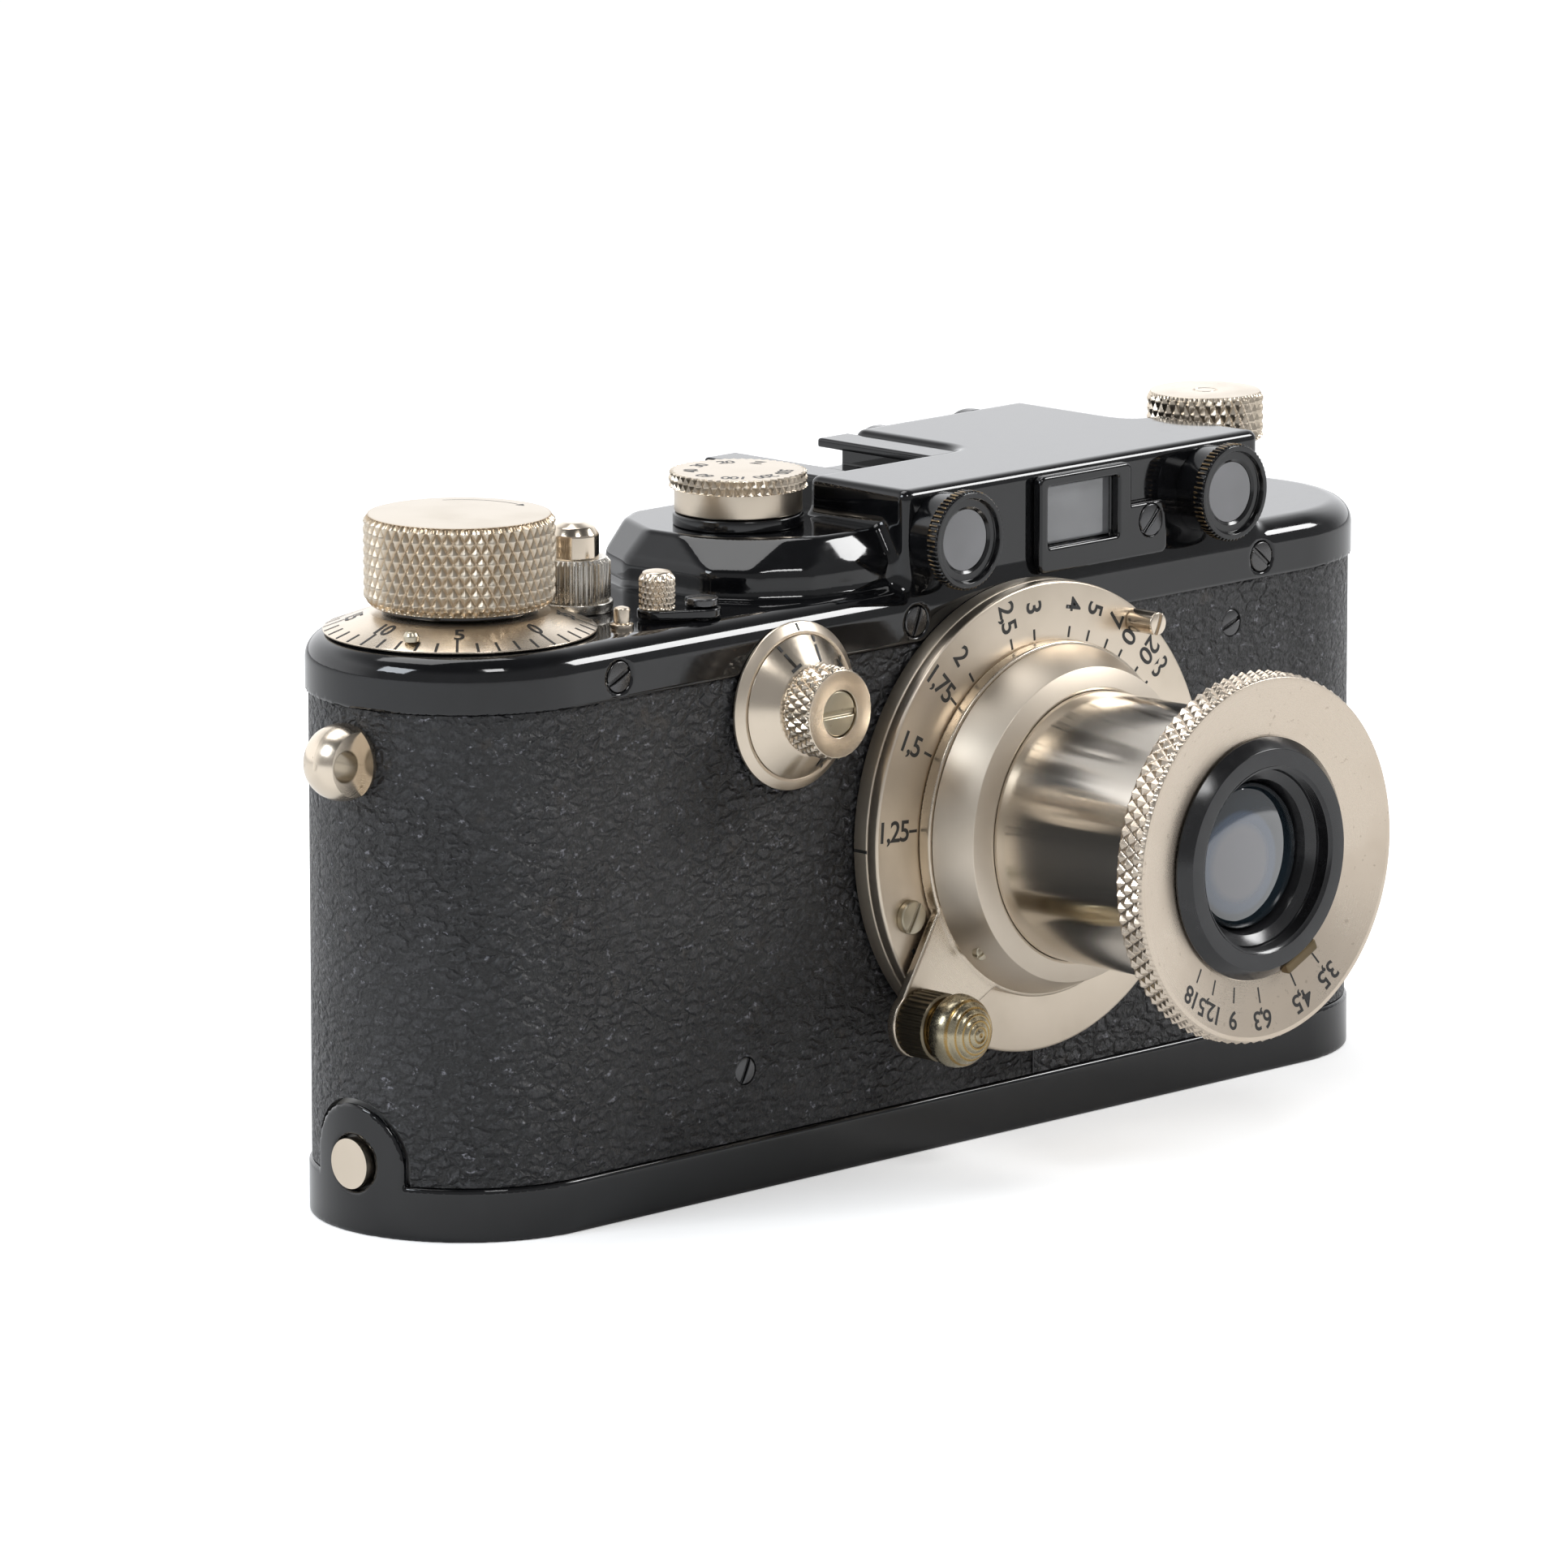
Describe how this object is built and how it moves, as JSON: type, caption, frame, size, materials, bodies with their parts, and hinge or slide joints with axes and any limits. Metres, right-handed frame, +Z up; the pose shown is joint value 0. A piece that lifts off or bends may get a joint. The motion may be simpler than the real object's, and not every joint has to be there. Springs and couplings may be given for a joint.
{
  "type": "rangefinder camera",
  "caption": "Black and nickel 35 mm rangefinder camera with a collapsible lens, separate finder windows, shutter dials and a bottom plate that locks on.",
  "frame": {"origin": "middle of the base plate's underside", "axes": "+X towards the rewind end, -Y out of the lens, +Z up through the top plate"},
  "size_m": [0.1422, 0.0651, 0.0675],
  "materials": {
    "black_enamel": "glossy black enamel, slightly worn to brass on the edges",
    "black_screw": "blackened slotted screws",
    "vulcanite": "hard pebbled vulcanite",
    "shell_metal": "drawn aluminium",
    "nickel": "warm satin nickel plate",
    "nickel_matte": "matt nickel plate",
    "nickel_polished": "polished nickel",
    "nickel_dark": "dull tarnished nickel",
    "worn_brass": "nickel worn through to brass",
    "steel_part": "turned steel",
    "brass_part": "turned brass",
    "inner_metal": "dull black inside finish",
    "inner_black": "dull black finish",
    "curtain_cloth": "rubberised cloth",
    "lens_glass": "polished optical glass",
    "clear_glass": "flat finder glass"
  },
  "bodies": {
    "body": {"body_shell": "shell_metal", "body_covering": "vulcanite", "top_plate": "black_enamel", "case_screws": "black_screw", "strap_lugs": "nickel", "base_stud": "nickel", "lens_mount_ring": "nickel_dark", "mount_screws": "nickel", "shutter_crate": "inner_metal", "pressure_plate": "inner_black", "shutter_curtains": "curtain_cloth", "release_collar": "nickel", "release_spring": "steel_part", "speed_dial_seat": "black_enamel", "rewind_lever_screw": "black_screw", "slow_speed_ring": "nickel", "accessory_shoe": "black_enamel", "viewfinder_frame": "black_enamel", "finder_windows": "clear_glass", "viewfinder_eyepiece": "black_enamel", "rangefinder_eyepiece": "black_enamel", "rangefinder_rims": "black_enamel", "rangefinder_prism": "clear_glass", "focus_flange": "nickel", "focus_stops": "worn_brass"},
    "winding": {"wind_knob": "nickel", "wind_shaft": "steel_part", "take_up_spool": "inner_black"},
    "counter": {"counter_dial": "nickel"},
    "sprocket": {"sprocket_shaft": "steel_part"},
    "drum": {"curtain_drum": "brass_part"},
    "roller_a": {"curtain_roller_a": "brass_part"},
    "roller_b": {"curtain_roller_b": "brass_part"},
    "release": {"release_button": "nickel"},
    "dial_shaft": {"speed_dial_shaft": "steel_part"},
    "dial": {"speed_dial": "nickel"},
    "rewind_spindle": {"rewind_shaft": "steel_part"},
    "rewind_grip": {"rewind_knob": "nickel"},
    "rewind_switch": {"rewind_lever": "black_enamel", "rewind_lever_stud": "nickel"},
    "slow_dial": {"slow_speed_dial": "nickel", "slow_speed_screw": "worn_brass"},
    "diopter": {"diopter_ring": "black_enamel"},
    "rf_arm": {"rangefinder_arm": "brass_part"},
    "base": {"base_plate": "black_enamel", "tripod_bush": "brass_part"},
    "lock": {"base_lock": "black_enamel", "base_latch": "steel_part"},
    "wing": {"base_wing": "steel_part"},
    "coupling": {"coupling_ring": "brass_part"},
    "focusing": {"focusing_barrel": "nickel_matte", "focusing_lever": "nickel", "focus_knob": "worn_brass"},
    "infinity": {"infinity_button": "worn_brass"},
    "brake": {"brake_ring": "inner_black"},
    "tube": {"lens_tube": "nickel_polished", "front_ring": "nickel", "iris": "inner_black", "lens_elements": "lens_glass"},
    "aperture": {"aperture_ring": "inner_black"}
  },
  "joints": [
    {"name": "wind_turn", "type": "hinge", "parent": "body", "child": "winding", "pos_m": [-0.052, 0, 0], "axis": [0, 0, 1], "continuous": true},
    {"name": "counter_turn", "type": "hinge", "parent": "body", "child": "counter", "pos_m": [-0.052, 0, 0.056], "axis": [0, 0, 1], "continuous": true},
    {"name": "sprocket_turn", "type": "hinge", "parent": "body", "child": "sprocket", "pos_m": [-0.0369, 0, 0], "axis": [0, 0, 1], "continuous": true},
    {"name": "drum_turn", "type": "hinge", "parent": "body", "child": "drum", "pos_m": [-0.0147, 0, 0], "axis": [0, 0, 1], "continuous": true},
    {"name": "roller_a_turn", "type": "hinge", "parent": "body", "child": "roller_a", "pos_m": [0.0325, 0.0054, 0], "axis": [0, 0, 1], "continuous": true},
    {"name": "roller_b_turn", "type": "hinge", "parent": "body", "child": "roller_b", "pos_m": [0.0325, -0.0016, 0], "axis": [0, 0, 1], "continuous": true},
    {"name": "release_press", "type": "slide", "parent": "body", "child": "release", "axis": [0, 0, -1], "range_m": [0, 0.002], "stiffness_N_per_m": 400, "deforming": ["release_spring"]},
    {"name": "speed_turn", "type": "hinge", "parent": "body", "child": "dial_shaft", "pos_m": [-0.0147, 0, 0.06], "axis": [0, 0, 1], "continuous": true},
    {"name": "speed_lift", "type": "slide", "parent": "dial_shaft", "child": "dial", "axis": [0, 0, 1], "range_m": [0, 0.0018], "stiffness_N_per_m": 300},
    {"name": "rewind_turn", "type": "hinge", "parent": "body", "child": "rewind_spindle", "pos_m": [0.0519, 0, 0.06], "axis": [0, 0, 1], "continuous": true},
    {"name": "rewind_pull", "type": "slide", "parent": "rewind_spindle", "child": "rewind_grip", "axis": [0, 0, 1], "range_m": [0, 0.005]},
    {"name": "rewind_switch_turn", "type": "hinge", "parent": "body", "child": "rewind_switch", "pos_m": [-0.0313, -0.0116, 0.0565], "axis": [0, 0, -1], "range_deg": [0, 60]},
    {"name": "slow_speed_turn", "type": "hinge", "parent": "body", "child": "slow_dial", "pos_m": [-0.0226, -0.016, 0.0468], "axis": [0, -1, 0], "range_deg": [-30, 150]},
    {"name": "diopter_turn", "type": "hinge", "parent": "body", "child": "diopter", "pos_m": [0.0338, 0.015, 0.0605], "axis": [0, -1, 0], "range_deg": [0, 60]},
    {"name": "base_swing", "type": "hinge", "parent": "body", "child": "base", "pos_m": [-0.0665, 0, 0.0125], "axis": [0, 1, 0], "range_deg": [0, 20]},
    {"name": "lock_turn", "type": "hinge", "parent": "base", "child": "lock", "pos_m": [0.05, 0, 0], "axis": [0, 0, 1], "range_deg": [0, 180]},
    {"name": "wing_fold", "type": "hinge", "parent": "lock", "child": "wing", "pos_m": [0.05, -0.0026, 0.00085], "axis": [-1, 0, 0], "range_deg": [0, 90]},
    {"name": "rf_arm_turn", "type": "hinge", "parent": "body", "child": "rf_arm", "pos_m": [-0.0036, -0.0066, 0.05], "axis": [0, 0, -1], "range_deg": [0, 12.19]},
    {"name": "helicoid_advance", "type": "slide", "parent": "body", "child": "coupling", "axis": [0, -1, 0], "range_m": [0, 0.00264]},
    {"name": "focus_turn", "type": "hinge", "parent": "coupling", "child": "focusing", "pos_m": [0.0089, -0.018, 0.0318], "axis": [0, -1, 0], "range_deg": [0, 176]},
    {"name": "infinity_press", "type": "slide", "parent": "focusing", "child": "infinity", "axis": [0, 1, 0], "range_m": [0, 0.0009], "stiffness_N_per_m": 300},
    {"name": "tube_twist", "type": "hinge", "parent": "focusing", "child": "brake", "pos_m": [0.0089, -0.018, 0.0318], "axis": [0, -1, 0], "range_deg": [0, 17]},
    {"name": "tube_collapse", "type": "slide", "parent": "brake", "child": "tube", "axis": [0, 1, 0], "range_m": [0, 0.0195]},
    {"name": "aperture_turn", "type": "hinge", "parent": "tube", "child": "aperture", "pos_m": [0.0089, -0.046, 0.0318], "axis": [0, -1, 0], "range_deg": [0, 76]}
  ],
  "couplings": [
    {"joint": "counter_turn", "follows": "wind_turn", "ratio": 0.025},
    {"joint": "sprocket_turn", "follows": "wind_turn", "ratio": -1},
    {"joint": "drum_turn", "follows": "wind_turn", "ratio": -1},
    {"joint": "roller_a_turn", "follows": "wind_turn", "ratio": -3.15},
    {"joint": "roller_b_turn", "follows": "wind_turn", "ratio": -3.15},
    {"joint": "helicoid_advance", "follows": "focus_turn", "m_per_rad": 0.00085944},
    {"joint": "rf_arm_turn", "follows": "focus_turn", "ratio": 0.069261}
  ]
}
